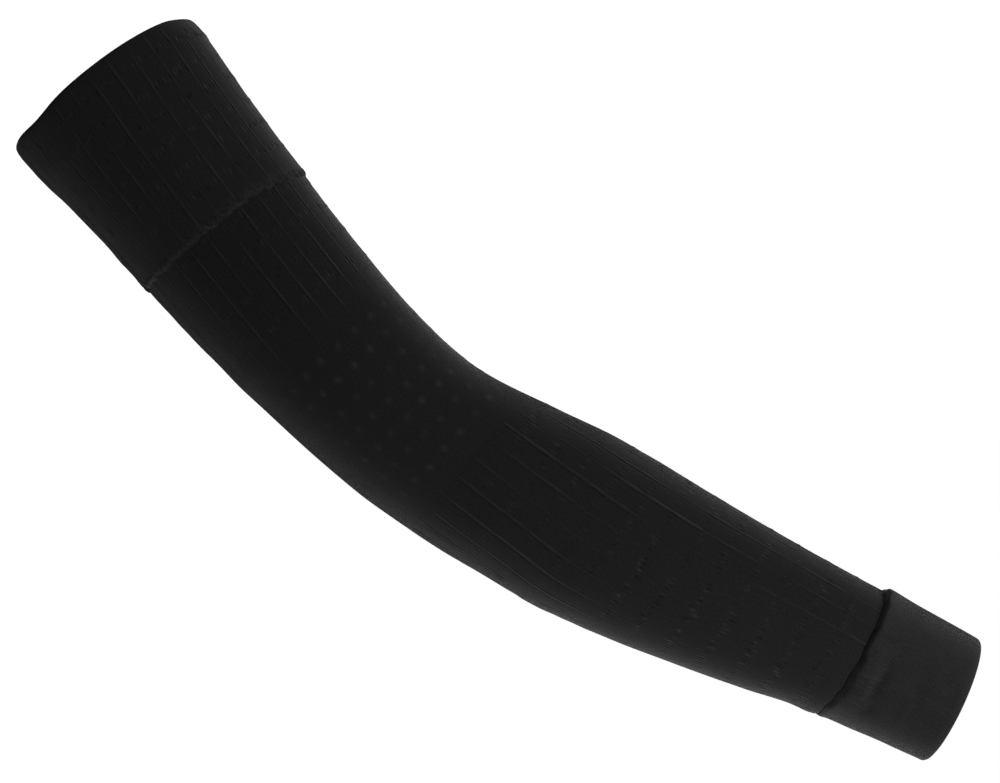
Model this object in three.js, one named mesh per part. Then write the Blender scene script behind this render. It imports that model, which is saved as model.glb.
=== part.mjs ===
// A knitted arm sleeve in the form that it has on a bent arm, hollow from the upper arm to the wrist.
// Sizes are millimetres and degrees. The middle line bends in the plane Y = 0, +Z is up, and the origin
// is the centre of the upper rim. "along" is the distance down the middle line from the origin.
// "round" is the angle about the middle line: 90 is the inner side of the elbow, -90 its outer side,
// and 0 is the flank that faces -Y.

import * as THREE from "three";

// Cloth
const KNIT = 1.5;
const GAP = 0.3;
const BAND_WALL = 3.0;
const BAND_PROUD = 0.4;
const SEAM_BEAD = { height: 0.5, reach: 3.5 };
const CUFF_PROUD = 1.6;

// How finely the faces divide the cloth
const SIDES = 48;
const TURN_STEPS = 4;
const LONG_STEP = 16;
const BEND_STEP = 8;
const CUFF_STEP = 4.5;
const BEAD_STEP = 2.5;

// Edges that cross the sleeve. along is where the edge crosses the flanks, and tilt turns the edge away
// from square, so that it comes later on the inner side of the elbow.
const EDGES = {
  rim: { along: 0, tilt: 1 },
  seam: { along: 81, tilt: 1 },
  elbow_start: { along: 146, tilt: 0 },
  elbow_end: { along: 221, tilt: 10 },
  cuff: { along: 401.5, tilt: 4.5 },
  wrist: { along: 448.3, tilt: -3 },
};

// Cross-sections of the tube. heading is the slope of the middle line below the horizontal, width lies
// in the plane of the bend, depth lies across it, and keel narrows the outer side like an egg.
const SECTIONS = [
  { along: 0, heading: 51.4, width: 91.0, depth: 90, keel: 0 },
  { along: 15, heading: 50.6, width: 90.4, depth: 88, keel: 0 },
  { along: 32, heading: 50.2, width: 86.9, depth: 86, keel: 0 },
  { along: 77, heading: 50.4, width: 81.8, depth: 82, keel: 0 },
  { along: 120, heading: 48.4, width: 77.4, depth: 78, keel: 0.02 },
  { along: 150, heading: 45.9, width: 74.2, depth: 76, keel: 0.05 },
  { along: 180, heading: 41.0, width: 72.0, depth: 75, keel: 0.08 },
  { along: 200, heading: 36.0, width: 71.6, depth: 75, keel: 0.08 },
  { along: 222, heading: 30.2, width: 73.6, depth: 76, keel: 0.06 },
  { along: 245, heading: 28.2, width: 75.8, depth: 77, keel: 0.03 },
  { along: 270, heading: 27.8, width: 78.1, depth: 76, keel: 0 },
  { along: 298, heading: 27.0, width: 76.0, depth: 73, keel: 0 },
  { along: 330, heading: 25.6, width: 70.7, depth: 67, keel: 0 },
  { along: 360, heading: 24.2, width: 65.4, depth: 61, keel: 0 },
  { along: 388, heading: 23.6, width: 59.9, depth: 55.6, keel: 0 },
  { along: 404, heading: 24.2, width: 56.8, depth: 52.6, keel: 0 },
  { along: 449, heading: 28.2, width: 52.6, depth: 48, keel: 0 },
];

// Soft dents of the wall. height is how far the cloth stands out, and the reaches say how far the dent
// fades along the sleeve and round it.
const DENTS = [
  { along: 406, round: 90, reach_along: 11, reach_round: 50, height: 0.5 },
  { along: 413, round: -16, reach_along: 5, reach_round: 24, height: -1.2 },
  { along: 437, round: -50, reach_along: 8, reach_round: 30, height: 0.5 },
];

// Black knit, a little lighter where it lies double.
const COLOURS = {
  upper_band: 0x1b1b1c,
  upper_arm_tube: 0x161617,
  elbow_panel: 0x19191a,
  forearm_tube: 0x19191a,
  wrist_cuff: 0x262627,
};

const radians = THREE.MathUtils.degToRad;

// Slope of a column at a row, from the rows on either side of it.
function slopeAt(column, row) {
  const before = SECTIONS[Math.max(row - 1, 0)];
  const after = SECTIONS[Math.min(row + 1, SECTIONS.length - 1)];
  return (after[column] - before[column]) / (after.along - before.along);
}

// A column at any place along, on a smooth curve through the rows.
function sizeAt(column, along) {
  const above = SECTIONS.findLastIndex((section) => section.along <= along);
  const row = THREE.MathUtils.clamp(above, 0, SECTIONS.length - 2);
  const from = SECTIONS[row];
  const to = SECTIONS[row + 1];
  const span = to.along - from.along;
  const t = (along - from.along) / span;
  const rise = (3 - 2 * t) * t * t;
  const leave = t * (1 - t) * (1 - t) * span * slopeAt(column, row);
  const arrive = t * t * (t - 1) * span * slopeAt(column, row + 1);
  return from[column] * (1 - rise) + to[column] * rise + leave + arrive;
}

// Direction of the middle line, and the direction across it towards the inner side of the elbow.
function lineAt(along) {
  const heading = radians(sizeAt("heading", along));
  const down = new THREE.Vector3(Math.cos(heading), 0, -Math.sin(heading));
  const inner = new THREE.Vector3(Math.sin(heading), 0, Math.cos(heading));
  return { down, inner };
}

// Points of the middle line at every millimetre, summed from its heading.
const MIDDLE = [new THREE.Vector3()];
for (let along = 0.5; along < EDGES.wrist.along + 6; along += 1) {
  MIDDLE.push(MIDDLE.at(-1).clone().add(lineAt(along).down));
}

// The middle line goes straight on above its first point.
function middleAt(along) {
  if (along < 0) {
    return lineAt(0).down.multiplyScalar(along);
  }
  const whole = Math.floor(along);
  return MIDDLE[whole].clone().lerp(MIDDLE[whole + 1], along - whole);
}

// How far the dents move the wall out at a place.
function dentAt(along, round) {
  let out = 0;
  for (const dent of DENTS) {
    const turn = THREE.MathUtils.euclideanModulo(round - dent.round + 180, 360) - 180;
    const away = (along - dent.along) / dent.reach_along;
    const aside = turn / dent.reach_round;
    out += dent.height * Math.exp(-away * away - aside * aside);
  }
  return out;
}

// A point of the cloth on a row of a profile. The row's inset is measured in from the tube's outer face.
function clothPoint(row, round) {
  const across = Math.sin(radians(round));
  const lean = (Math.tan(radians(row.tilt)) * sizeAt("width", row.along)) / 2;
  const along = row.along + lean * across;
  const flank = Math.cos(radians(round)) * (1 + sizeAt("keel", along) * across);
  const out = dentAt(along, round) - row.inset;
  const point = middleAt(along);
  point.addScaledVector(lineAt(along).inner, (sizeAt("width", along) / 2 + out) * across);
  point.y -= (sizeAt("depth", along) / 2 + out) * flank;
  return point;
}

function shifted(edge, by) {
  return { along: edge.along + by, tilt: edge.tilt };
}

// Rows of a profile at one inset, evenly spread from one edge to another, both included.
function leaf(from, to, step, inset) {
  const count = Math.max(1, Math.round(Math.abs(to.along - from.along) / step));
  return Array.from({ length: count + 1 }, (_, i) => ({
    along: THREE.MathUtils.lerp(from.along, to.along, i / count),
    tilt: THREE.MathUtils.lerp(from.tilt, to.tilt, i / count),
    inset,
  }));
}

// Rows of a profile round a folded edge, which swells by half the distance between its two insets.
function foldedEdge(edge, fromInset, toInset, direction) {
  const middle = (fromInset + toInset) / 2;
  const radius = (fromInset - toInset) / 2;
  return Array.from({ length: TURN_STEPS - 1 }, (_, i) => {
    const turn = (Math.PI * (i + 1)) / TURN_STEPS;
    const swell = direction * Math.abs(radius) * Math.sin(turn);
    return { ...shifted(edge, swell), inset: middle + radius * Math.cos(turn) };
  });
}

// The same rows, standing further out towards an edge.
function raised(rows, edge, shape) {
  return rows.map((row) => {
    const away = (row.along - edge.along) / shape.reach;
    return { ...row, inset: row.inset - shape.height * Math.exp(-away * away) };
  });
}

// A closed ring of cloth. The profile runs down the outer face and back up the inner face.
function clothRing(name, profile) {
  const corners = [];
  for (const row of profile) {
    for (let side = 0; side < SIDES; side += 1) {
      corners.push(clothPoint(row, (360 * side) / SIDES));
    }
  }
  const faces = [];
  for (let row = 0; row < profile.length; row += 1) {
    const next = (row + 1) % profile.length;
    for (let side = 0; side < SIDES; side += 1) {
      const beside = (side + 1) % SIDES;
      const a = row * SIDES + side;
      const b = row * SIDES + beside;
      const c = next * SIDES + beside;
      const d = next * SIDES + side;
      faces.push(a, c, b, a, d, c);
    }
  }
  const geometry = new THREE.BufferGeometry().setFromPoints(corners);
  geometry.setIndex(faces);
  geometry.computeVertexNormals();
  const cloth = new THREE.MeshStandardMaterial({ color: COLOURS[name], roughness: 0.9, metalness: 0 });
  const mesh = new THREE.Mesh(geometry, cloth);
  mesh.name = name;
  return mesh;
}

// A plain length of single knit with square ends.
function singleKnit(name, from, to, step) {
  return clothRing(name, [...leaf(from, to, step, 0), ...leaf(to, from, step, KNIT)]);
}

// The band is doubled over a rounded rim, and thickens into a bead at its seam.
const bandTop = shifted(EDGES.rim, BAND_WALL / 2);
const beadTop = shifted(EDGES.seam, -3 * BEAD_STEP);
const bandInset = BAND_WALL - BAND_PROUD;
const upperBand = clothRing("upper_band", [
  ...leaf(bandTop, beadTop, LONG_STEP, -BAND_PROUD),
  ...raised(leaf(beadTop, EDGES.seam, BEAD_STEP, -BAND_PROUD).slice(1), EDGES.seam, SEAM_BEAD),
  ...leaf(EDGES.seam, bandTop, LONG_STEP, bandInset),
  ...foldedEdge(bandTop, bandInset, -BAND_PROUD, -1),
]);

const upperArmTube = singleKnit("upper_arm_tube", shifted(EDGES.seam, GAP), EDGES.elbow_start, LONG_STEP);
const elbowPanel = singleKnit("elbow_panel", shifted(EDGES.elbow_start, GAP), EDGES.elbow_end, BEND_STEP);

// The forearm runs on under the cuff, with rows that follow the cuff's own.
const cuffFold = shifted(EDGES.wrist, -(KNIT + CUFF_PROUD) / 2);
const forearmTop = shifted(EDGES.elbow_end, GAP);
const forearmEnd = shifted(cuffFold, -GAP);
const forearmTube = clothRing("forearm_tube", [
  ...leaf(forearmTop, EDGES.cuff, LONG_STEP, 0),
  ...leaf(EDGES.cuff, forearmEnd, CUFF_STEP, 0).slice(1),
  ...leaf(forearmEnd, EDGES.cuff, CUFF_STEP, KNIT),
  ...leaf(EDGES.cuff, forearmTop, LONG_STEP, KNIT).slice(1),
]);

// The cuff turns outwards at the wrist and lies back over the tube. Its inner edge meets the tube's end.
const wristCuff = clothRing("wrist_cuff", [
  ...leaf(EDGES.cuff, cuffFold, CUFF_STEP, -CUFF_PROUD),
  ...foldedEdge(cuffFold, -CUFF_PROUD, KNIT, 1),
  { ...cuffFold, inset: KNIT },
  ...leaf(cuffFold, EDGES.cuff, CUFF_STEP, -GAP),
  ...foldedEdge(EDGES.cuff, -GAP, -CUFF_PROUD, -1),
]);

const sleeve = new THREE.Group();
sleeve.name = "arm_sleeve";
sleeve.add(upperBand, upperArmTube, elbowPanel, forearmTube, wristCuff);

export default sleeve;
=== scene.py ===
"""A black knitted arm sleeve, in the form that it has on a bent arm.

Sizes in the tables are millimetres and degrees, and the meshes are metres. The middle line of the sleeve
bends in the plane Y = 0, +Z is up, and the origin is the centre of the upper rim. "Along" is the distance
down the middle line. "Turn" is the angle about it: 90 degrees is the inner side of the elbow, -90 its
outer side, and 0 the flank that faces -Y. "Out" is the distance out from the single knit's outer face.
"""
import math

import bpy
import numpy as np
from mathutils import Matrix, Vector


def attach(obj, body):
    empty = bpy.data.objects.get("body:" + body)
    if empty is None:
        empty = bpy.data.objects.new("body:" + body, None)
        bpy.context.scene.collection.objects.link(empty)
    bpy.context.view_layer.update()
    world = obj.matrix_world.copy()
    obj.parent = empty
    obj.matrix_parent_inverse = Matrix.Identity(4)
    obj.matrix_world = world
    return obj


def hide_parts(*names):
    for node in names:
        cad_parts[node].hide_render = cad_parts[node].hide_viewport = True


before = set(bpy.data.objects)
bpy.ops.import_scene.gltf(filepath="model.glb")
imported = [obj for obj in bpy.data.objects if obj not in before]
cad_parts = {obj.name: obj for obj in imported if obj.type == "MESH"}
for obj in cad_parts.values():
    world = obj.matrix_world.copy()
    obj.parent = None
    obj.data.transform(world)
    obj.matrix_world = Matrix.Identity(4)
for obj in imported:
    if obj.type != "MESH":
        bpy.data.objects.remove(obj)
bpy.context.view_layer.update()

MM = 0.001

# ---------------------------------------------------------------- sizes

KNIT_WALL = 1.5
BAND_WALL = 3.0
BAND_PROUD = 0.4
SEAM_BEAD = {"height": 0.25, "reach": 3.0, "corner": 2.0}
CUFF_PROUD = 1.6
CUFF_GAP = 0.3
CUFF_EDGE = 0.15
BUTT_GAP = 0.002

# Edges that cross the sleeve. Tilt turns an edge so that it comes later on the inner side of the elbow.
EDGES = {
    #             along, tilt
    "rim":         (0.0, 1.0),
    "seam":        (81.0, 1.0),
    "elbow_start": (146.0, 0.0),
    "elbow_end":   (221.0, 10.0),
    "cuff":        (401.5, 4.5),
    "wrist":       (448.3, -3.0),
}

# Cross-sections of the tube. Heading is the slope of the middle line below the horizontal, width lies in
# the plane of the bend, depth across it, and keel narrows the outer side like an egg.
SECTION_COLUMNS = ("along", "heading", "width", "depth", "keel")
SECTION_ROWS = [
    (0, 51.4, 91.0, 90.0, 0.00),
    (15, 50.6, 90.4, 88.0, 0.00),
    (32, 50.2, 86.9, 86.0, 0.00),
    (77, 50.4, 81.8, 82.0, 0.00),
    (120, 48.4, 77.4, 78.0, 0.02),
    (150, 45.9, 74.2, 76.0, 0.05),
    (180, 41.0, 72.0, 75.0, 0.08),
    (200, 36.0, 71.6, 75.0, 0.08),
    (222, 30.2, 73.6, 76.0, 0.06),
    (245, 28.2, 75.8, 77.0, 0.03),
    (270, 27.8, 78.1, 76.0, 0.00),
    (298, 27.0, 76.0, 73.0, 0.00),
    (330, 25.6, 70.7, 67.0, 0.00),
    (360, 24.2, 65.4, 61.0, 0.00),
    (388, 23.6, 59.9, 55.6, 0.00),
    (404, 24.2, 56.8, 52.6, 0.00),
    (449, 28.2, 52.6, 48.0, 0.00),
]
SECTION = dict(zip(SECTION_COLUMNS, np.array(SECTION_ROWS, float).T))

# Soft dents and bumps of the wall: how far they fade along and round, and how far the cloth stands out.
DENTS = [
    # along, turn, reach along, reach round, height
    (-1.0, 90.0, 4.0, 40.0, -0.9),
    (4.0, -90.0, 4.0, 35.0, 0.5),
    (9.0, 90.0, 5.0, 45.0, 0.35),
    (31.0, 90.0, 8.0, 45.0, 0.4),
    (56.0, -90.0, 10.0, 45.0, -0.3),
    (77.0, 90.0, 8.0, 45.0, 0.4),
    (82.0, 84.0, 1.6, 3.0, 0.25),
    (134.0, -90.0, 8.0, 45.0, 0.4),
    (196.0, -90.0, 12.0, 45.0, 0.45),
    (238.0, 90.0, 12.0, 45.0, 0.35),
    (395.0, -90.0, 5.5, 45.0, 1.2),
    (406.0, 90.0, 11.0, 50.0, 0.5),
    (408.0, -22.0, 2.6, 26.0, 0.1),
    (412.0, -20.0, 2.6, 14.0, -1.4),
    (413.0, -3.0, 2.4, 10.0, -1.0),
    (414.5, -35.0, 2.4, 8.0, -0.9),
    (437.0, -50.0, 8.0, 30.0, 0.5),
]

# Where the raised lines of a stretch of knit lie: the arc from the inner line of the elbow to line 0, the
# pitch of the lines, and how fast that pitch changes from line to line, at some places along.
LAYOUT_COLUMNS = ("along", "first", "pitch", "change")
UPPER_LINES = {
    "count": 28,
    "rows": [(0, 6.3, 9.38, 0.0), (73, 5.65, 9.16, 0.0), (146, 5.0, 8.94, 0.0)],
}
ELBOW_DOTS = {
    "count": 25,
    "rows": [(146, 24.2, 10.7, -0.21), (188, 24.4, 10.8, -0.23), (212, 26.4, 11.2, -0.27),
             (230, 28.0, 11.4, -0.27)],
}
FOREARM_LINES = {
    "count": 23,
    "rows": [(221, 4.0, 10.0, 0.0), (250, 9.5, 10.1, 0.0), (280, 13.6, 10.2, 0.0),
             (320, 13.4, 10.3, -0.08), (360, 12.8, 9.4, -0.1), (402, 12.8, 8.4, -0.08),
             (450, 12.8, 7.8, -0.08)],
}
CUFF_RIBS = 176

WALES = 5            # knit ribs from one line to the next, the line included
SAMPLES = 5          # mesh columns for each wale
COURSE = 0.75        # height of a course of stitches
BAND_TICKS = 10.0 + 11.28 * np.arange(6)
UPPER_TICKS = 84.2 + 14.05 * np.arange(5)
DOT_ROWS = 149.5 + 10.1 * np.arange(7)
FOREARM_TICKS = 232.4 + 14.2 * np.arange(12)

# The lined knit's features: how far each stands out, and how much it lightens or darkens the yarn, which is
# painted highlight on the ridges and dashes and painted shade in the hollows and pits.
LINED_FEATURES = {
    #          height, light
    "rib":    (0.012, 0.0),
    "ridge":  (0.28, 0.44),
    "hollow": (-0.1, -0.1),
    "dash":   (0.14, 0.33),
    "pit":    (-0.12, -0.24),
}

# The elbow's dots: their reach round and along, and their height and light, with what the inner side of
# the elbow adds to both. The light is a painted highlight on the dots.
DOTS = {"round": 1.4, "along": 1.5, "height": 0.28, "inner_height": -0.14, "light": 0.38, "inner_light": 0.36}

# Rows of the meshes along the sleeve: fine within reach of each mark, and coarse between the marks.
ROW_STEPS = {
    #           reach, fine, coarse
    "upper":   (1.9, 0.62, 2.2),
    "elbow":   (2.4, 0.6, 1.8),
    "forearm": (1.9, 0.64, 2.4),
    "cuff":    (3.6, 0.45, 2.6),
}

# Colours of the knit's yarn: black, and light yarn that stands for rubbed yarn and for painted highlight;
# mixing towards black also paints shade.
BLACK_YARN = (0.004, 0.004, 0.004)
LIGHT_YARN = (0.036, 0.036, 0.036)
SEAM_YARN = {"dark": (0.010, 0.010, 0.010), "light": (0.021, 0.021, 0.021)}

# Finishes of the knit: the share of light yarn all over, and the weight and roughness of the sheen.
FINISHES = {
    #              worn, sheen, sheen roughness
    "band_knit":  (0.21, 0.15, 0.45),
    "tube_knit":  (0.17, 0.15, 0.45),
    "elbow_knit": (0.20, 0.15, 0.45),
    "cuff_rib":   (0.25, 0.17, 0.50),
}

# The camera, the floor, the white surround and the soft boxes, in metres and watts. Bounce is the share of
# light that the floor throws back, glow how bright the camera sees the floor, and white how bright the
# camera sees the surround.
CAMERA = {"place": (0.1663, -1.05, -0.1292), "lens_mm": 90.0, "sensor_mm": 36.0}
FLOOR = {"half": 30.0, "height": -0.75, "paint": 0.9, "bounce": 0.2, "glow": 0.82}
ROOM = {"all_round": 0.012, "top": 0.29, "white": 1.05}
SOFT_BOXES = [
    # name, place, target, side, power
    ("lower_right_box", (0.73, -0.63, -0.48), (0.24, 0.0, -0.16), 0.4, 6.6),
    ("lower_box", (0.05, 0.1, -0.6), (0.16, 0.0, -0.18), 0.4, 0.4),
    ("lower_left_box", (-0.1, 0.4, -0.5), (0.17, 0.0, -0.18), 0.4, 0.3),
    ("back_box", (0.17, 0.9, -0.13), (0.17, 0.0, -0.15), 0.4, 3.5),
]


# ---------------------------------------------------------------- form of the sleeve

def through(places, values, at):
    """A smooth curve through a table: between two rows a cubic, whose slope at each row is that of the
    straight line between the row's two neighbours."""
    rows = np.arange(len(places))
    before = np.maximum(rows - 1, 0)
    after = np.minimum(rows + 1, len(places) - 1)
    slopes = (values[after] - values[before]) / (places[after] - places[before])
    row = np.clip(np.searchsorted(places, at, side="right") - 1, 0, len(places) - 2)
    span = places[row + 1] - places[row]
    t = (at - places[row]) / span
    rise = (3 - 2 * t) * t * t
    leave = t * (1 - t) ** 2 * span * slopes[row]
    arrive = t * t * (t - 1) * span * slopes[row + 1]
    return values[row] * (1 - rise) + values[row + 1] * rise + leave + arrive


def size_at(column, along):
    """A column of the cross-sections at any place along."""
    return through(SECTION["along"], SECTION[column], along)


# Points of the middle line at every millimetre, summed from its heading half-way between them.
STATIONS = np.arange(457.0)
STEP_HEADINGS = np.radians(size_at("heading", STATIONS[:-1] + 0.5))
MIDDLE_X = np.concatenate([[0.0], np.cumsum(np.cos(STEP_HEADINGS))])
MIDDLE_Z = np.concatenate([[0.0], -np.cumsum(np.sin(STEP_HEADINGS))])
RIM_HEADING = math.radians(SECTION["heading"][0])


def cloth_points(along, turn, out):
    """Points of the sleeve: across the middle line, half the width and half the depth, each plus `out`,
    make an ellipse with the angle `turn`, and the keel narrows it on the outer side. The middle line goes
    straight on above the rim."""
    heading = np.radians(size_at("heading", along))
    across = np.sin(turn)
    reach = (size_at("width", along) / 2 + out) * across
    flank = np.cos(turn) * (1 + size_at("keel", along) * across)
    above = np.minimum(along, 0)
    x = np.interp(along, STATIONS, MIDDLE_X) + above * math.cos(RIM_HEADING) + reach * np.sin(heading)
    y = -(size_at("depth", along) / 2 + out) * flank
    z = np.interp(along, STATIONS, MIDDLE_Z) - above * math.sin(RIM_HEADING) + reach * np.cos(heading)
    return np.stack([x, y, z], axis=-1) * MM


def half_round(along):
    """Half the length of the way round the sleeve, taken as a circle of the mean of width and depth."""
    return math.pi * (size_at("width", along) + size_at("depth", along)) / 4


def lean_at(along):
    """How far the crossing edges lean along the sleeve at its inner side, from the tilts of the edges."""
    places, tilts = np.array(list(EDGES.values())).T
    return np.tan(np.radians(np.interp(along, places, tilts))) * size_at("width", along) / 2


def bell(x):
    """A bell curve, 1 at zero."""
    return np.exp(-x * x)


def ease(x, start, stop):
    """A smooth step from 0 at start to 1 at stop."""
    t = np.clip((x - start) / (stop - start), 0, 1)
    return t * t * (3 - 2 * t)


def turn_from(turn, degrees):
    """The angle from a direction given in degrees, in degrees from -180 to 180."""
    return (np.degrees(turn) - degrees + 180) % 360 - 180


def dents_at(along, turn):
    """How far the dents and bumps move the wall out: each is a bell along times a bell round."""
    out = 0.0
    for place, direction, reach_along, reach_round, height in DENTS:
        aside = turn_from(turn, direction) / reach_round
        out = out + height * bell((along - place) / reach_along) * bell(aside)
    return out


def soft_noise(u, v, seed, period):
    """Smooth noise from -1 to 1: random values on a unit lattice that repeats in u after `period` cells,
    eased between the four corners of each cell."""
    lattice = np.random.default_rng(seed).uniform(-1, 1, (period, 64))
    cell_u, cell_v = np.floor(u).astype(int), np.floor(v).astype(int)
    s, t = ease(u - cell_u, 0, 1), ease(v - cell_v, 0, 1)

    def corner(du, dv):
        return lattice[(cell_u + du) % period, (cell_v + dv) % 64]

    near = corner(0, 0) * (1 - s) + corner(1, 0) * s
    far = corner(0, 1) * (1 - s) + corner(1, 1) * s
    return near * (1 - t) + far * t


def slack_at(along, turn):
    """Slight unevenness of the worn cloth, the same on every piece, so that the pieces meet."""
    round_cells = (turn / (2 * math.pi)) % 1
    broad = soft_noise(round_cells * 9, along / 26, 11, 9)
    close = soft_noise(round_cells * 26, along / 9, 12, 26)
    return 0.13 * broad + 0.07 * close


# ---------------------------------------------------------------- knit

def line_arcs(layout, place, line):
    """Arc from the inner line of the elbow for each row and each line number. On the front half it is
    first + pitch x line + change x line squared. On the back half it is a cubic in the line number that
    goes on with the same spacing at both ends and closes the ring after `count` lines."""
    table = dict(zip(LAYOUT_COLUMNS, np.array(layout["rows"], float).T))
    first, pitch, change = (through(table["along"], table[c], place) for c in LAYOUT_COLUMNS[1:])
    half = half_round(place)

    def line_of(arc):
        gap = arc - first
        return 2 * gap / (pitch + np.sqrt(pitch * pitch + 4 * change * gap))

    start, middle = line_of(0 * half), line_of(half)
    line = start + (line - start) % layout["count"]
    front = first + pitch * line + change * line * line
    span = start + layout["count"] - middle
    t = (line - middle) / span
    rise = (3 - 2 * t) * t * t
    leave = t * (1 - t) ** 2 * span * (pitch + 2 * change * middle)
    arrive = t * t * (t - 1) * span * (pitch + 2 * change * start)
    back = half * (1 + rise) + leave + arrive
    return np.where(line < middle, front, back)


def even_layout(count, places):
    """A layout whose lines are spread evenly all the way round."""
    rows = [(place, 0.0, 2 * float(half_round(place)) / count, 0.0) for place in places]
    return {"count": count, "rows": rows}


def crossing_rows(start, stop, marks, reach, fine, coarse):
    """Places along from start to stop, fine within reach of each mark and coarse between them."""
    near = np.linspace(-reach, reach, 2 * round(reach / fine) + 1)
    close = np.sort((np.asarray(marks)[:, None] + near).ravel())
    close = close[(close > start + fine / 2) & (close < stop - fine / 2)]
    stops = np.concatenate([[start], close, [stop]])
    counts = np.maximum(1, np.ceil(np.diff(stops) / coarse)).astype(int)
    runs = [np.linspace(a, b, n, endpoint=False) for a, b, n in zip(stops[:-1], stops[1:], counts)]
    return np.concatenate(runs + [[stop]])


def line_strength(seed, line, place, cell, low, high):
    """How strongly each line stands out at each place: random values a cell apart along the line, eased
    between them and kept from low to high."""
    draws = np.random.default_rng(seed).uniform(low - 0.25, high + 0.35, (64, 64))
    spot = place / cell
    index = np.floor(spot).astype(int)
    share = ease(spot - index, 0, 1)
    value = draws[line % 64, index % 64] * (1 - share) + draws[line % 64, (index + 1) % 64] * share
    return np.clip(value, low, high)


def lined_knit(seed, count, ticks, start, stop, worn=(0, 0), tick=1.0, outer_fade=None, outer_ticks=None):
    """Relief of the lined knit, and how light or dark its yarn is: wear, painted highlight and painted shade.
    There is a slight rib for each wale, a raised line at every fifth wale with a hollow along its outer side,
    and across the
    wales rows of ticks: short raised dashes with pits between them. Lines and hollows are bells across, ribs
    are squared waves, and dashes and pits are bells along times squared waves across. Lines and dashes are
    lightened as painted highlight, and hollows and pits darkened as painted shade. Each line is broken and
    uneven along its length. Towards the inner side of the elbow, where `inward` is 1, lines are lighter but
    flatter, and ticks are stronger. Start and stop are each two places, between which the relief comes out of
    the plain face or fades to it. Worn is how light the yarn is at both ends, and tick how strong the ticks
    are. On the outer half, lines fade between the two places of outer_fade, and ticks grow between those of
    outer_ticks."""
    rng = np.random.default_rng(seed)
    wales = count * WALES
    shape = (len(ticks), wales)
    dash_strength = np.clip(rng.normal(0.35, 0.45, shape), 0, 1)
    dash_shift = rng.normal(0, 0.6, shape)
    dash_reach = rng.uniform(0.7, 1.5, shape)
    pit_strength = np.clip(rng.normal(0.25, 0.45, shape), 0, 1)
    pit_shift = rng.normal(0, 0.7, shape)

    def relief(place, line, arc, half):
        number = np.round(line).astype(int)
        from_line = (line - number) * WALES
        inward = np.cos(math.pi * arc / half)
        broken = 0.4 + 0.6 * line_strength(seed + 2, number % count, place, 4.5, 0.0, 1.0)
        strength = line_strength(seed + 1, number % count, place, 17.0, 0.25, 1.1) * broken
        strength = strength * (1.0 + 0.55 * inward * inward + 0.25 * inward)
        aside = np.minimum(arc, 2 * half - arc)
        if outer_fade is not None:
            kept = 1 - ease(place, *outer_fade) * ease(aside, 34, 44)
            strength = strength * (0.18 + 0.82 * kept)
        ridge = strength * bell(from_line / 0.18)
        hollow = strength * bell((from_line - 0.5) / 0.28)
        row = np.abs(place[..., None] - ticks).argmin(axis=-1)
        away = place - ticks[row]
        wale = np.round(line * WALES).astype(int) % wales
        rib = np.cos(math.pi * line * WALES) ** 2
        dash = dash_strength[row, wale] * bell((away - dash_shift[row, wale]) / dash_reach[row, wale])
        dash = np.where(np.abs(from_line) > 0.5, dash * rib, 0.0)
        between = np.floor(line * WALES).astype(int) % wales
        pit = pit_strength[row, between] * bell((away - pit_shift[row, between]) / 0.9) * (1 - rib)
        more = tick * (0.65 + 0.95 * ease(inward, 0.3, 0.8))
        if outer_ticks is not None:
            more = more + 1.25 * ease(place, *outer_ticks) * bell((aside - 74) / 16)
        dash, pit = dash * more, pit * more
        ends = ease(place, *start) * (1 - ease(place, *stop))
        flatter = 1 - 0.6 * ease(inward, 0.7, 0.95)
        # Lit features: ridges and dashes take painted highlight, hollows and pits painted shade.
        lit = {"ridge": ridge, "hollow": hollow, "dash": dash, "pit": pit}
        raised = {**lit, "rib": rib, "ridge": flatter * ridge, "hollow": flatter * hollow}
        height = sum(LINED_FEATURES[feature][0] * value for feature, value in raised.items())
        wear_and_painted_light = sum(LINED_FEATURES[feature][1] * value for feature, value in lit.items())
        return height * ends, np.interp(place, (start[0], stop[1]), worn) + wear_and_painted_light * ends

    return relief


def dotted_knit(seed, count, rows, start, stop):
    """Relief of the elbow, and how light its yarn is: a fine rib for each wale, and where each dot row meets
    each line a bump, which is a bell round times a bell along. The bumps are lightened as painted highlight.
    Towards the inner side of the elbow the bumps are lower but lighter, and on its outer side they sink away.
    The yarn is a little darker at the start."""
    rng = np.random.default_rng(seed)
    shape = (len(rows), count)
    dot_strength = rng.uniform(0.4, 1.0, shape)
    dot_shift = rng.normal(0, 0.4, shape)
    dot_slip = rng.normal(0, 0.35, shape)

    def relief(place, line, arc, half):
        number = np.round(line).astype(int)
        column = number % count
        row = np.abs(place[..., None] - rows).argmin(axis=-1)
        aside = (line - number) * 9.6 - dot_slip[row, column]
        away = place - rows[row] - dot_shift[row, column]
        from_inner = np.minimum(arc, 2 * half - arc)
        bump = bell(aside / DOTS["round"]) * bell(away / DOTS["along"]) * dot_strength[row, column]
        bump = bump * (1 - 0.85 * ease(from_inner, 72, 96))
        inner = 1 - ease(from_inner, 10, 34)
        rib = LINED_FEATURES["rib"][0] * np.cos(math.pi * line * WALES) ** 2
        ends = ease(place, start, start + 2.0) * (1 - ease(place, stop - 2.0, stop))
        fresh = 0.03 * (1 - ease(place, start, start + 40))
        height = DOTS["height"] + DOTS["inner_height"] * inner
        # Painted highlight on the dots, more towards the inner side of the elbow.
        light = DOTS["light"] + DOTS["inner_light"] * inner
        return (rib + height * bump) * ends, light * bump * ends - fresh

    return relief


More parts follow.
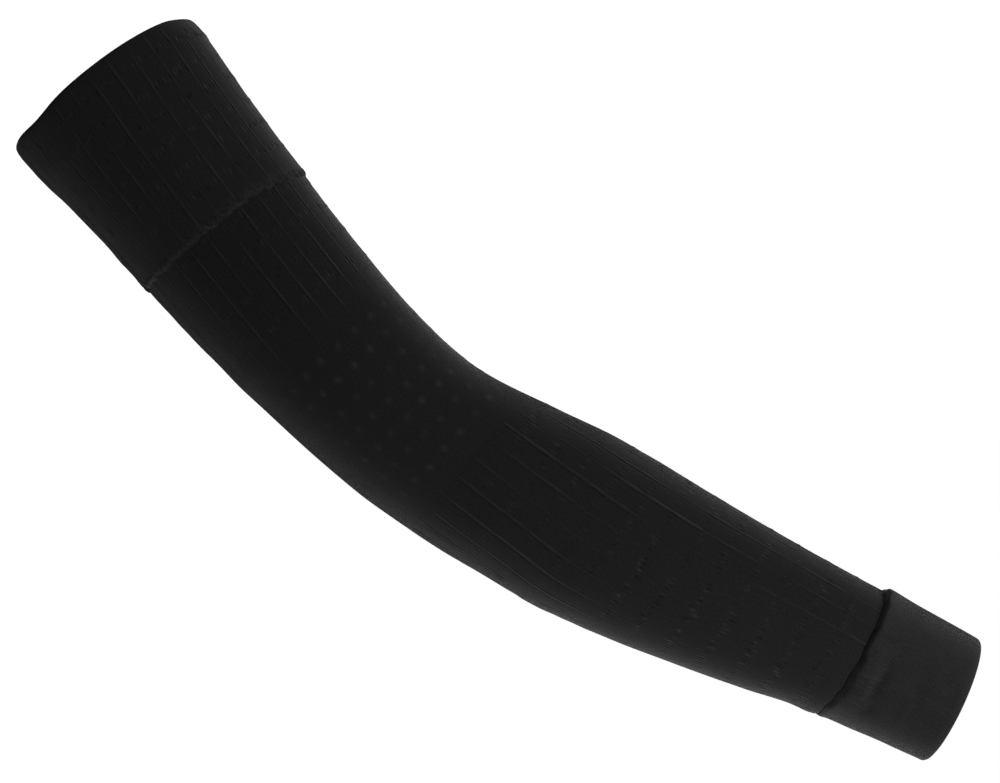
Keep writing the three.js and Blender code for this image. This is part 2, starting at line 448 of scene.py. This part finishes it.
def ribbed_knit(seed, top, fold):
    """Relief of the cuff, and how light or dark its yarn is: one rounded rib for each line, a squared wave
    across that is uneven in height. The ribs are lightened as painted highlight and the gaps between them
    darkened as painted shade; these and the light flecks on the ribs show most near the upper edge. The yarn
    is darkened as painted shade in the crease at that edge, but lightened as painted light towards the inner
    side of the elbow, where the crease is shallow, and lightened as a painted highlight at the fold."""

    def relief(place, line, arc, half):
        rib = np.cos(math.pi * line) ** 2
        uneven = 0.75 + 0.25 * soft_noise(line / 2, place / 4, seed, CUFF_RIBS // 2)
        fleck = soft_noise(line, place / 2.4, seed + 1, CUFF_RIBS)
        near = 1 - 0.7 * ease(place, top + 10, top + 28)
        # Painted highlight on the rib tops and painted shade in the gaps, with light flecks of yarn on the
        # ribs.
        wear_and_painted_light = near * (0.26 * (rib - 0.5) + 0.34 * rib * np.maximum(fleck - 0.2, 0))
        patch = soft_noise(line / 4, place / 3, seed + 2, CUFF_RIBS // 4)
        inward = np.cos(math.pi * arc / half)
        # Random patches of yarn, painted light towards the inner side of the elbow, and a painted highlight
        # at the fold.
        wear_and_painted_light = wear_and_painted_light + 0.06 * patch + 0.12 * inward + 0.14 * ease(place, fold - 2.5, fold)
        turn = np.degrees(math.pi / 2 - math.pi * arc / half)
        shallow = ease(inward, 0.0, 0.6)
        crease = (1.4 + 1.8 * bell((turn + 26) / 22)) * (1 - 0.6 * bell((turn + 90) / 30)) - 0.5 * shallow
        # Painted shade in the crease below the upper edge, turned to painted light where the crease is
        # shallow.
        crease_shade = bell(np.maximum(place - top - 0.4 * crease, 0) / (0.6 * crease))
        return 0.13 * uneven * rib, wear_and_painted_light - (0.26 - 0.45 * shallow) * crease_shade

    return relief


# ---------------------------------------------------------------- meshes

def mesh_piece(name, points, faces, corner_uv=None, wear_and_painted_light=None, sharp=None):
    """A mesh object at the origin from arrays of points and four-cornered faces. corner_uv is the stitch
    map at each face corner, the fifth argument how light or dark the yarn is at each point, from wear and
    from painted highlight and painted shade, and sharp says of each pair of points whether their edge is a
    corner of the cloth."""
    mesh = bpy.data.meshes.new(name)
    mesh.vertices.add(len(points))
    mesh.vertices.foreach_set("co", points.astype(np.float32).ravel())
    mesh.loops.add(faces.size)
    mesh.loops.foreach_set("vertex_index", faces.astype(np.int32).ravel())
    mesh.polygons.add(len(faces))
    mesh.polygons.foreach_set("loop_start", np.arange(0, faces.size, 4, dtype=np.int32))
    mesh.polygons.foreach_set("use_smooth", np.ones(len(faces), bool))
    mesh.update(calc_edges=True)
    if corner_uv is not None:
        layer = mesh.uv_layers.new(name="stitches")
        layer.uv.foreach_set("vector", corner_uv.astype(np.float32).ravel())
    # Wear of the yarn with painted highlight and painted shade, kept as a point attribute.
    if wear_and_painted_light is not None:
        attribute = mesh.attributes.new("wear_and_painted_light", "FLOAT", "POINT")
        attribute.data.foreach_set("value", wear_and_painted_light.astype(np.float32).ravel())
    if sharp is not None:
        ends = np.empty(len(mesh.edges) * 2, np.int32)
        mesh.edges.foreach_get("vertices", ends)
        corner = mesh.attributes.new("sharp_edge", "BOOLEAN", "EDGE")
        corner.data.foreach_set("value", sharp(*ends.reshape(-1, 2).T))
    mesh.validate()
    piece = bpy.data.objects.new(name, mesh)
    bpy.context.scene.collection.objects.link(piece)
    return piece


class Profile:
    """Rows of a closed ring of cloth, down its outer face and back up its inner face. Each row has a place
    along, a distance out, and the share of the relief that it takes."""

    def __init__(self):
        self.place, self.out, self.share, self.corners = [], [], [], []

    def add(self, place, out, share, corner=False):
        place = np.atleast_1d(np.asarray(place, float))
        self.place.append(place)
        self.out.append(np.broadcast_to(out, place.shape))
        self.share.append(np.broadcast_to(share, place.shape))
        flags = np.zeros(place.shape, bool)
        flags[[0, -1]] = corner
        self.corners.append(flags)
        return self

    def fold(self, place, from_out, to_out, way, share_from, share_to, steps=8):
        """Half a circle round a folded edge, which swells along by its own radius."""
        t = np.linspace(0, 1, steps + 1)[1:-1]
        radius = abs(from_out - to_out) / 2
        swell = way * radius * np.sin(math.pi * t)
        out = (from_out + to_out) / 2 + (from_out - to_out) / 2 * np.cos(math.pi * t)
        return self.add(place + swell, out, share_from + (share_to - share_from) * t)

    def rows(self):
        return tuple(np.concatenate(c) for c in (self.place, self.out, self.share, self.corners))


def knit_ring(name, profile, layout, samples, relief, wales, sway=None, lift=None):
    """A closed ring of knit. Its columns follow the lines of the layout and its rows the profile. A point
    lies at the arc of its column, at its row's place plus the lean of the edges, and out by its row's
    distance, the dents, the slack of the cloth and its share of the relief. Sway moves points along the
    sleeve, and lift moves them out."""
    place, out, share, corners = profile.rows()
    place, out, share = place[:, None], out[:, None], share[:, None]
    line = np.arange(layout["count"] * samples + 1) / samples
    columns = len(line) - 1
    half = half_round(place)
    arc = line_arcs(layout, place, line[None, :])
    turn = math.pi / 2 - math.pi * arc / half
    along = place + lean_at(place) * np.sin(turn)
    if sway is not None:
        along = along + sway(place, turn)
    whole_place = np.broadcast_to(place, arc.shape)
    # The relief gives heights, and the yarn's wear with painted highlight and painted shade.
    height, wear_and_painted_light = relief(whole_place, np.broadcast_to(line, arc.shape), arc, half)
    stand = out + dents_at(along, turn) + slack_at(along, turn) + share * height
    if lift is not None:
        stand = stand + lift(place, turn, out)
    points = cloth_points(along, turn, stand)[:, :-1]
    rows = len(place)
    above, left = np.meshgrid(np.arange(rows), np.arange(columns), indexing="ij")
    below, right = (above + 1) % rows, left + 1
    around = right % columns
    faces = np.stack([above * columns + left, above * columns + around,
                      below * columns + around, below * columns + left], axis=-1).reshape(-1, 4)
    stitch = np.stack([np.broadcast_to(line * wales, along.shape), along / COURSE], axis=-1)
    corner_uv = np.stack([stitch[above, left], stitch[above, right],
                          stitch[below, right], stitch[below, left]], axis=-2)
    corner_rows = np.nonzero(corners)[0]

    def sharp(a, b):
        same = a // columns == b // columns
        return same & np.isin(a // columns, corner_rows)

    return mesh_piece(name, points.reshape(-1, 3), faces, corner_uv, (share * wear_and_painted_light)[:, :-1], sharp)


def inner_rows(start, stop, step=9.0):
    """Places up the inner face, from the lower edge to the upper one."""
    return np.linspace(stop, start, max(2, round((stop - start) / step) + 1))


def band_out(place):
    """The band's outer face: proud of the tube, thickened into a bead at the seam, and eased down to the
    tube at its edge."""
    seam = EDGES["seam"][0]
    bead = SEAM_BEAD["height"] * bell((place - seam + 2.0) / SEAM_BEAD["reach"])
    return (BAND_PROUD + bead) * (1 - ease(place, seam - SEAM_BEAD["corner"], seam))


def band_sway(place, turn):
    """How far the rim and the seam wander along the sleeve, fading to both sides of them. Both come later
    at the inner side of the elbow."""
    rim = 1.3 * bell(turn_from(turn, -40) / 16) - 0.5 * bell(turn_from(turn, 22) / 35)
    rim = rim + 1.0 * ease(np.sin(turn), 0.8, 1.0)
    cells = (turn / (2 * math.pi)) % 1 * 128
    wander = 0.55 * soft_noise(cells, 0 * cells, 13, 128)
    late = 2.4 * ease(np.sin(turn), 0.5, 1.0)
    away = place - EDGES["seam"][0]
    return rim * bell(place / 10) + wander * bell(away / 3) + late * bell(away / 14)


def upper_band():
    """The doubled band: its outer face, which thickens into a bead at the seam and eases down to the tube,
    its inner face, and the rounded rim that it is folded over. The linking stitches pull the yarn of the
    bead into light tufts, which show most towards the inner side of the elbow. Where the face eases down to
    the tube at the seam, its yarn is darkened as painted shade."""
    top = BAND_WALL / 2
    seam = EDGES["seam"][0]
    inside = BAND_PROUD - BAND_WALL
    corner = SEAM_BEAD["corner"]
    marks = np.concatenate([BAND_TICKS, [seam - 2.4]])
    face = crossing_rows(top, seam - corner, marks, *ROW_STEPS["upper"])
    places = np.concatenate([face, seam - corner * np.array([0.8, 0.6, 0.4, 0.2, 0.0])])
    share = ease(places, top - 1.0, top + 3.0) * 0.85 + 0.15
    profile = Profile()
    profile.add(places, band_out(places), share)
    profile.add(inner_rows(top, seam), inside, 0.0)
    profile.fold(top, inside, BAND_PROUD, -1, 0.0, share[0], steps=8)
    knit = lined_knit(100, UPPER_LINES["count"], BAND_TICKS, (-2.0, 0.5), (seam - 5.0, seam - 2.0), tick=1.4)

    def relief(place, line, arc, half):
        height, wear_and_painted_light = knit(place, line, arc, half)
        tuft = soft_noise(line * 7 + place / 2.2, place / 2.8, 110, 196)
        bead = ease(place, seam - 7.0, seam - 3.0)
        # Painted shade: the yarn is darkened where the face eases down to the tube.
        edge = ease(place, seam - 1.4, seam)
        side = 0.75 + 0.5 * np.cos(math.pi * arc / half)
        return height + 0.08 * bead * tuft, wear_and_painted_light + bead * side * (0.1 + 0.22 * tuft) - 0.1 * edge

    return knit_ring("upper_band_knit", profile, UPPER_LINES, WALES * SAMPLES, relief, 2 * WALES, band_sway)


def single_knit(name, start, stop, places, layout, relief, sway=None, lift=None):
    """A length of single knit with square ends: its outer face and its inner face."""
    profile = Profile()
    profile.add(places, 0.0, 1.0, corner=True)
    profile.add(inner_rows(start, stop, 12.0), -KNIT_WALL, 0.0, corner=True)
    return knit_ring(name, profile, layout, WALES * SAMPLES, relief, 2 * WALES, sway, lift)


def upper_arm_tube():
    """The lined knit from the seam to the elbow."""
    start = EDGES["seam"][0] + BUTT_GAP
    stop = EDGES["elbow_start"][0] - BUTT_GAP / 2
    places = crossing_rows(start, stop, UPPER_TICKS, *ROW_STEPS["upper"])
    relief = lined_knit(200, UPPER_LINES["count"], UPPER_TICKS, (start, start + 1.5), (stop - 20, stop),
                        worn=(-0.035, 0.0))
    return single_knit("upper_arm_knit", start, stop, places, UPPER_LINES, relief, band_sway)


def elbow_panel():
    """The dotted knit round the elbow."""
    start = EDGES["elbow_start"][0] + BUTT_GAP / 2
    stop = EDGES["elbow_end"][0] - BUTT_GAP / 2
    places = crossing_rows(start, stop, DOT_ROWS, *ROW_STEPS["elbow"])
    relief = dotted_knit(300, ELBOW_DOTS["count"], DOT_ROWS, start, stop)
    return single_knit("elbow_knit", start, stop, places, ELBOW_DOTS, relief)


def forearm_tube():
    """The lined knit from the elbow to the wrist, drawn in a little where the cuff grips it."""
    start = EDGES["elbow_end"][0] + BUTT_GAP / 2
    stop = EDGES["wrist"][0] - (KNIT_WALL + CUFF_PROUD) / 2 - CUFF_GAP
    cuff = EDGES["cuff"][0]
    seen = crossing_rows(start, cuff + 4, FOREARM_TICKS, *ROW_STEPS["forearm"])
    places = np.concatenate([seen, np.linspace(cuff + 4, stop, 6)[1:]])
    relief = lined_knit(400, FOREARM_LINES["count"], FOREARM_TICKS, (start, start + 4), (cuff + 3, cuff + 6),
                        outer_fade=(282, 306), outer_ticks=(286, 304))

    def grip(place, turn, out):
        loose = bell(turn_from(turn, -90) / 38)
        return -0.2 * (1 - loose) * bell((place - cuff) / 2.4)

    return single_knit("forearm_knit", start, stop, places, FOREARM_LINES, relief, lift=grip)


def wrist_cuff():
    """The ribbed cuff: its outer leaf, the rounded fold at the wrist, the end that covers the tube, its
    inner leaf over the tube, and the upper edge, where the outer leaf slopes down to the tube."""
    top = EDGES["cuff"][0]
    fold = EDGES["wrist"][0] - (KNIT_WALL + CUFF_PROUD) / 2
    places = crossing_rows(top, fold, [top + 1.8, top + 11.0], *ROW_STEPS["cuff"])
    share = 0.5 + 0.5 * ease(places, top, top + 2.0)
    profile = Profile()
    profile.add(places, CUFF_PROUD, share)
    profile.fold(fold, CUFF_PROUD, -KNIT_WALL, 1, share[-1], 0.0, steps=10)
    profile.add(fold, -KNIT_WALL, 0.0)
    profile.add(inner_rows(top, fold, 5.0), CUFF_GAP, 0.0)
    profile.fold(top, CUFF_GAP, CUFF_GAP + CUFF_EDGE, -1, 0.0, share[0], steps=4)

    def slope(place, turn, out):
        outer = bell(turn_from(turn, -90) / 38)
        front = bell(turn_from(turn, -28) / 28)
        rise = np.sin(math.pi / 2 * np.clip((place - top) / (2.0 + 1.0 * front), 0, 1))
        full = 0.4 * (1 - outer) * bell((place - top - 3) / 5) - 0.8 * outer * bell((place - top) / 8)
        settle = -0.22 * bell((place - top) / 2.5)
        low = CUFF_GAP + CUFF_EDGE - CUFF_PROUD + settle
        return np.where(out > CUFF_PROUD - 0.001, low + (full - low) * rise, np.where(out > 0, settle, 0.0))

    def sway(place, turn):
        early = bell(turn_from(turn, -68) / 30)
        cells = (turn / (2 * math.pi)) % 1 * 40
        uneven = 0.5 * soft_noise(cells, 0 * cells, 14, 40)
        return (uneven - 1.5 * early) * bell(np.maximum(place - top, 0) / 12)

    layout = even_layout(CUFF_RIBS, (396, 404, 426, 452))
    return knit_ring("wrist_cuff_knit", profile, layout, 4, ribbed_knit(500, top, fold), 1, sway, slope)


def yarn_loops(name, along, turn, out, thickness):
    """Short lengths of yarn: a round profile carried along each path. The paths are rows of places on the
    sleeve, the profile is a circle across the path, and it closes to a point at both ends."""
    path = cloth_points(along, turn, out)
    outward = cloth_points(along, turn, out + 1.0) - path
    outward = outward / np.linalg.norm(outward, axis=-1, keepdims=True)
    ahead = np.gradient(path, axis=1)
    ahead = ahead / np.linalg.norm(ahead, axis=-1, keepdims=True)
    aside = np.cross(ahead, outward)
    aside = aside / np.linalg.norm(aside, axis=-1, keepdims=True)
    up = np.cross(aside, ahead)
    sides = 6
    around = 2 * math.pi * np.arange(sides) / sides
    steps = path.shape[1]
    taper = np.sqrt(np.maximum(1 - np.linspace(-1, 1, steps) ** 4, 0.02))
    radius = (thickness * MM / 2 * taper)[None, :, None, None]
    ring = np.cos(around)[:, None] * aside[:, :, None, :] + np.sin(around)[:, None] * up[:, :, None, :]
    points = path[:, :, None, :] + radius * ring
    loops = path.shape[0]
    loop, step, side = np.meshgrid(np.arange(loops), np.arange(steps - 1), np.arange(sides), indexing="ij")
    beside = (side + 1) % sides

    def index(a, b):
        return (loop * steps + a) * sides + b

    faces = np.stack([index(step, side), index(step + 1, side),
                      index(step + 1, beside), index(step, beside)], axis=-1).reshape(-1, 4)
    start = np.arange(loops)[:, None] * steps * sides
    finish = start + (steps - 1) * sides
    caps = [start + [0, 1, 2, 3], start + [0, 3, 4, 5], finish + [3, 2, 1, 0], finish + [5, 4, 3, 0]]
    faces = np.concatenate([faces] + caps)
    return mesh_piece(name, points.reshape(-1, 3), faces)


def seam_stitches():
    """The linking stitches of the seam: curled, slanted loops of yarn that lie half sunk in the bead."""
    count = 94
    rng = np.random.default_rng(600)
    seam = EDGES["seam"][0]
    step = np.linspace(0, 1, 11)[None, :]

    def uneven(spread):
        return rng.normal(0, spread, (count, 1))

    middle = 2 * math.pi * (np.arange(count)[:, None] + uneven(0.22)) / count
    slant = np.radians(2.2 + uneven(0.9)) * (step - 0.5)
    curl = np.radians(0.5 + uneven(0.4)) * np.sin(2 * math.pi * step)
    turn = middle + slant + curl
    place = seam - 3.6 + uneven(0.35) + (3.0 + uneven(0.25)) * step
    along = place + lean_at(place) * np.sin(turn) + band_sway(place, turn)
    arch = 0.16 * np.sin(math.pi * step) - 0.22 + uneven(0.05)
    out = band_out(place) + arch + dents_at(along, turn) + slack_at(along, turn)
    return yarn_loops("seam_stitches", along, turn, out, 0.7)


# ---------------------------------------------------------------- materials

def new_group(name, inputs, outputs):
    """An empty shader node group with named sockets."""
    group = bpy.data.node_groups.new(name, "ShaderNodeTree")
    for socket, kind in inputs:
        group.interface.new_socket(name=socket, in_out="INPUT", socket_type=kind)
    for socket, kind in outputs:
        group.interface.new_socket(name=socket, in_out="OUTPUT", socket_type=kind)
    return group, group.nodes.new("NodeGroupInput"), group.nodes.new("NodeGroupOutput")


def math_node(tree, operation, *values):
    """A Math node whose inputs are numbers or other sockets."""
    node = tree.nodes.new("ShaderNodeMath")
    node.operation = operation
    for socket, value in zip(node.inputs, values):
        if isinstance(value, bpy.types.NodeSocket):
            tree.links.new(value, socket)
        else:
            socket.default_value = value
    return node.outputs[0]


def stitch_group():
    """Knit stitches on a map that counts wales across and courses along. In each wale two legs, rounded
    across, slant up to the wale's edges, and a wave along the slant parts one stitch from the next. The
    tone is a mottle of the yarn about zero, plus painted shade that darkens the hollows between the legs."""
    group, given, made = new_group(
        "knit_stitches",
        [("Stitches", "NodeSocketVector"), ("Mottle Scale", "NodeSocketFloat")],
        [("Height", "NodeSocketFloat"), ("Tone", "NodeSocketFloat")],
    )
    links = group.links
    split = group.nodes.new("ShaderNodeSeparateXYZ")
    links.new(given.outputs["Stitches"], split.inputs[0])
    aside = math_node(group, "ABSOLUTE", math_node(
        group, "SUBTRACT", math_node(group, "FRACT", split.outputs["X"]), 0.5))
    leg = math_node(group, "SINE", math_node(group, "MULTIPLY", aside, 2 * math.pi))
    slant = math_node(group, "ADD", split.outputs["Y"], math_node(group, "MULTIPLY", aside, 1.6))
    wave = math_node(group, "COSINE", math_node(group, "MULTIPLY", slant, 2 * math.pi))
    parted = math_node(group, "ADD", math_node(group, "MULTIPLY", wave, 0.3), 0.7)
    height = math_node(group, "MULTIPLY", leg, parted)
    links.new(height, made.inputs["Height"])
    mottle = group.nodes.new("ShaderNodeTexNoise")
    mottle.noise_dimensions = "2D"
    mottle.inputs["Detail"].default_value = 4.0
    links.new(given.outputs["Stitches"], mottle.inputs["Vector"])
    links.new(given.outputs["Mottle Scale"], mottle.inputs["Scale"])
    # Tone: painted shade in the hollows between the legs, plus a random mottle of the yarn.
    tone = math_node(group, "MULTIPLY_ADD", height, 0.12, math_node(
        group, "MULTIPLY_ADD", mottle.outputs["Fac"], 0.36, -0.23))
    links.new(tone, made.inputs["Tone"])
    return group


def knit_material(name, stitches, worn, sheen, sheen_rough):
    """Black knit: the share of light yarn in its colour is how worn the knit is, plus the stitches' tone,
    which holds painted shade, and the point attribute that holds wear with painted highlight and painted
    shade, and the stitches bump the surface."""
    material = bpy.data.materials.new(name)
    material.use_nodes = True
    tree = material.node_tree
    links = tree.links
    shader = tree.nodes["Principled BSDF"]
    shader.inputs["Roughness"].default_value = 0.9
    shader.inputs["Specular IOR Level"].default_value = 0.12
    shader.inputs["Sheen Weight"].default_value = sheen
    shader.inputs["Sheen Roughness"].default_value = sheen_rough
    shader.inputs["Sheen Tint"].default_value = (1.0, 0.98, 0.96, 1.0)
    chart = tree.nodes.new("ShaderNodeUVMap")
    chart.uv_map = "stitches"
    knit = tree.nodes.new("ShaderNodeGroup")
    knit.node_tree = stitches
    knit.inputs["Mottle Scale"].default_value = 0.9
    links.new(chart.outputs["UV"], knit.inputs["Stitches"])
    # Point attribute: wear of the yarn with painted highlight and painted shade.
    wear_and_painted_light = tree.nodes.new("ShaderNodeAttribute")
    wear_and_painted_light.attribute_name = "wear_and_painted_light"
    relief = math_node(tree, "ADD", knit.outputs["Tone"], wear_and_painted_light.outputs["Fac"])
    colour = tree.nodes.new("ShaderNodeMix")
    colour.data_type = "RGBA"
    links.new(math_node(tree, "ADD", relief, worn), colour.inputs[0])
    dark, light = (socket for socket in colour.inputs if socket.type == "RGBA")
    dark.default_value = (*BLACK_YARN, 1.0)
    light.default_value = (*LIGHT_YARN, 1.0)
    mixed = [socket for socket in colour.outputs if socket.type == "RGBA"][0]
    links.new(mixed, shader.inputs["Base Color"])
    bump = tree.nodes.new("ShaderNodeBump")
    bump.inputs["Strength"].default_value = 0.35
    bump.inputs["Distance"].default_value = 0.00015
    links.new(knit.outputs["Height"], bump.inputs["Height"])
    links.new(bump.outputs["Normal"], shader.inputs["Normal"])
    return material


def yarn_material(name, dark, light):
    """Seam yarn: a fine mottle between two blacks, with the grain of twisted fibre."""
    material = bpy.data.materials.new(name)
    material.use_nodes = True
    tree = material.node_tree
    shader = tree.nodes["Principled BSDF"]
    shader.inputs["Roughness"].default_value = 0.9
    shader.inputs["Specular IOR Level"].default_value = 0.12
    shader.inputs["Sheen Weight"].default_value = 0.1
    shader.inputs["Sheen Roughness"].default_value = 0.5
    where = tree.nodes.new("ShaderNodeTexCoord")
    grain = tree.nodes.new("ShaderNodeTexNoise")
    grain.inputs["Scale"].default_value = 1800.0
    grain.inputs["Detail"].default_value = 3.0
    tree.links.new(where.outputs["Object"], grain.inputs["Vector"])
    ramp = tree.nodes.new("ShaderNodeValToRGB")
    ramp.color_ramp.elements[0].position = 0.3
    ramp.color_ramp.elements[0].color = (*dark, 1.0)
    ramp.color_ramp.elements[1].position = 0.75
    ramp.color_ramp.elements[1].color = (*light, 1.0)
    tree.links.new(grain.outputs["Fac"], ramp.inputs["Fac"])
    tree.links.new(ramp.outputs["Color"], shader.inputs["Base Color"])
    relief = tree.nodes.new("ShaderNodeBump")
    relief.inputs["Strength"].default_value = 0.3
    relief.inputs["Distance"].default_value = 0.0001
    tree.links.new(grain.outputs["Fac"], relief.inputs["Height"])
    tree.links.new(relief.outputs["Normal"], shader.inputs["Normal"])
    return material


# ---------------------------------------------------------------- camera, light and floor

def photo_camera():
    """A level camera that looks along +Y at the flank."""
    lens = bpy.data.cameras.new("camera")
    lens.sensor_width = CAMERA["sensor_mm"]
    lens.lens = CAMERA["lens_mm"]
    camera = bpy.data.objects.new("camera", lens)
    camera.location = CAMERA["place"]
    camera.rotation_euler = (math.pi / 2, 0.0, 0.0)
    bpy.context.scene.collection.objects.link(camera)
    bpy.context.scene.camera = camera


def soft_light(name, place, target, size, power):
    """A square soft box that faces a target."""
    lamp = bpy.data.lights.new(name, "AREA")
    lamp.size = size
    lamp.energy = power
    box = bpy.data.objects.new(name, lamp)
    away = np.array(target) - np.array(place)
    box.location = place
    box.visible_camera = False
    box.rotation_euler = Vector(away).to_track_quat("-Z", "Y").to_euler()
    bpy.context.scene.collection.objects.link(box)


def white_room():
    """A surround that is brightest overhead, and that the camera sees as white."""
    world = bpy.data.worlds.new("white_room")
    world.use_nodes = True
    tree = world.node_tree
    shade = tree.nodes["Background"]
    shade.inputs["Color"].default_value = (1.0, 1.0, 1.0, 1.0)
    where = tree.nodes.new("ShaderNodeTexCoord")
    split = tree.nodes.new("ShaderNodeSeparateXYZ")
    tree.links.new(where.outputs["Generated"], split.inputs[0])
    overhead = math_node(tree, "MAXIMUM", split.outputs["Z"], 0.0)
    glow = math_node(tree, "MULTIPLY_ADD", overhead, ROOM["top"], ROOM["all_round"])
    ray = tree.nodes.new("ShaderNodeLightPath")
    white = math_node(tree, "MULTIPLY", ray.outputs["Is Camera Ray"], ROOM["white"])
    tree.links.new(math_node(tree, "MAXIMUM", glow, white), shade.inputs["Strength"])
    bpy.context.scene.world = world


def pale_floor():
    """A wide, pale, level floor well below the sleeve, as below an arm that is held out. It glows white to
    the camera alone, so that the sleeve gets little light from below."""
    corners = FLOOR["half"] * np.array([(-1, -1), (1, -1), (1, 1), (-1, 1)])
    points = np.column_stack([corners, np.full(4, FLOOR["height"])])
    floor = mesh_piece("floor", points, np.array([[0, 1, 2, 3]]))
    paint = bpy.data.materials.new("pale_floor")
    paint.use_nodes = True
    tree = paint.node_tree
    shader = tree.nodes["Principled BSDF"]
    shader.inputs["Roughness"].default_value = 0.9
    ray = tree.nodes.new("ShaderNodeLightPath")
    seen = ray.outputs["Is Camera Ray"]
    tone = math_node(tree, "MULTIPLY_ADD", seen, FLOOR["paint"] - FLOOR["bounce"], FLOOR["bounce"])
    tree.links.new(tone, shader.inputs["Base Color"])
    shader.inputs["Emission Color"].default_value = (1.0, 1.0, 1.0, 1.0)
    glow = math_node(tree, "MULTIPLY", seen, FLOOR["glow"])
    tree.links.new(glow, shader.inputs["Emission Strength"])
    floor.data.materials.append(paint)


# ---------------------------------------------------------------- the sleeve

photo_camera()
white_room()
pale_floor()
for soft_box in SOFT_BOXES:
    soft_light(*soft_box)
bpy.context.scene.view_settings.view_transform = "Standard"

stitches = stitch_group()
knits = {name: knit_material(name, stitches, *finish) for name, finish in FINISHES.items()}
seam_yarn = yarn_material("seam_yarn", SEAM_YARN["dark"], SEAM_YARN["light"])

# Each piece with its finish, and the knit's flat size before it is worn, in metres: the way round when
# slack, and the length.
PIECES = [
    (upper_band, "band_knit", (0.215, 0.080)),
    (upper_arm_tube, "tube_knit", (0.200, 0.063)),
    (elbow_panel, "elbow_knit", (0.190, 0.072)),
    (forearm_tube, "tube_knit", (0.170, 0.220)),
    (wrist_cuff, "cuff_rib", (0.140, 0.046)),
]
for make, finish, flat in PIECES:
    piece = make()
    piece.data.materials.append(knits[finish])
    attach(piece, "root")
    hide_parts(make.__name__)

stitching = seam_stitches()
stitching.data.materials.append(seam_yarn)
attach(stitching, "root")
